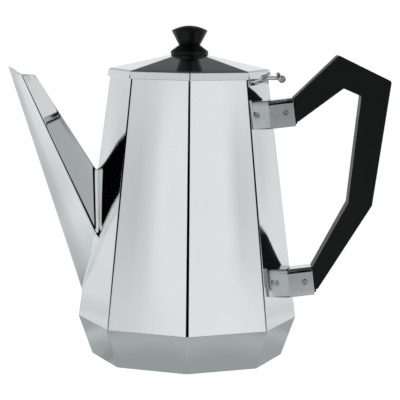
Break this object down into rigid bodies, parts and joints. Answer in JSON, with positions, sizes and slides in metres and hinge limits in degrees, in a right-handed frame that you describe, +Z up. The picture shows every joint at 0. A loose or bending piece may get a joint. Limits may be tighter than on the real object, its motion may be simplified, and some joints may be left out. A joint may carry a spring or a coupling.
{
  "type": "coffee pot",
  "caption": "Octagonal polished steel coffee pot with a long tapering spout, a hinged pyramid lid with a turned knob, and a flat angular black handle.",
  "frame": {"origin": "centre of the flat base, on the surface the pot stands on", "axes": "+Z up, +X towards the handle, -X towards the spout; the XZ plane is the plane of symmetry"},
  "size_m": [0.2183, 0.126, 0.1899],
  "materials": {
    "mirror_steel": "mirror polished stainless steel",
    "satin_steel": "fine satin stainless steel",
    "black_plastic": "black heat-resistant plastic, satin",
    "washer_steel": "plain stainless steel"
  },
  "bodies": {
    "pot": {"body_shell": "mirror_steel", "base_plate": "mirror_steel", "spout": "mirror_steel", "hinge_body_leaf": "satin_steel", "hinge_pin": "satin_steel", "upper_bracket": "satin_steel", "lower_bracket": "satin_steel", "upper_handle_pin": "satin_steel", "lower_handle_pin": "satin_steel", "upper_wing_rivet_near": "satin_steel", "upper_wing_rivet_far": "satin_steel", "lower_wing_rivet_near": "satin_steel", "lower_wing_rivet_far": "satin_steel", "handle_grip": "black_plastic"},
    "lid": {"lid_shell": "mirror_steel", "hinge_lid_leaf": "satin_steel", "knob_base": "black_plastic", "knob_cap": "black_plastic", "knob_screw": "washer_steel", "knob_washer": "washer_steel"}
  },
  "joints": [
    {"name": "lid_hinge", "type": "hinge", "parent": "pot", "child": "lid", "pos_m": [0.0524, 0, 0.1604], "axis": [0, 1, 0], "range_deg": [0, 100]}
  ]
}
